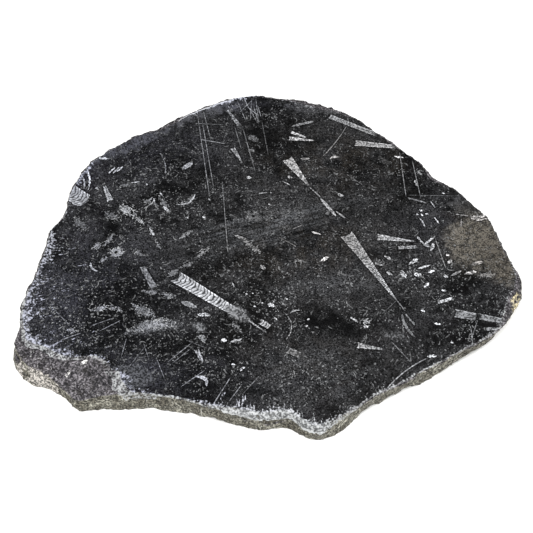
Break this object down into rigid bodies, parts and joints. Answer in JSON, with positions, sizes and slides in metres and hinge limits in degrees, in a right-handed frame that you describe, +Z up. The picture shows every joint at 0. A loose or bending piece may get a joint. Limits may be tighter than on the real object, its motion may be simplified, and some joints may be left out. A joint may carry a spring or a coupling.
{
  "type": "orthoceras fossil slab",
  "caption": "Flat slab of black limestone with straight cone-shaped shell fossils, polished on top, sawn underneath and left broken round its rim, for display lying flat.",
  "frame": {"origin": "on the sawn underside, below the middle of the slab's box", "axes": "+Z up through the polished face, +X along the slab's length to its narrow right-hand tip, -Y to the front"},
  "size_m": [0.426, 0.3714, 0.022],
  "materials": {
    "black_limestone": "polished top with pale fossils, broken grey rim, sawn underside"
  },
  "bodies": {
    "root": {"fossil_slab": "black_limestone"}
  },
  "joints": []
}
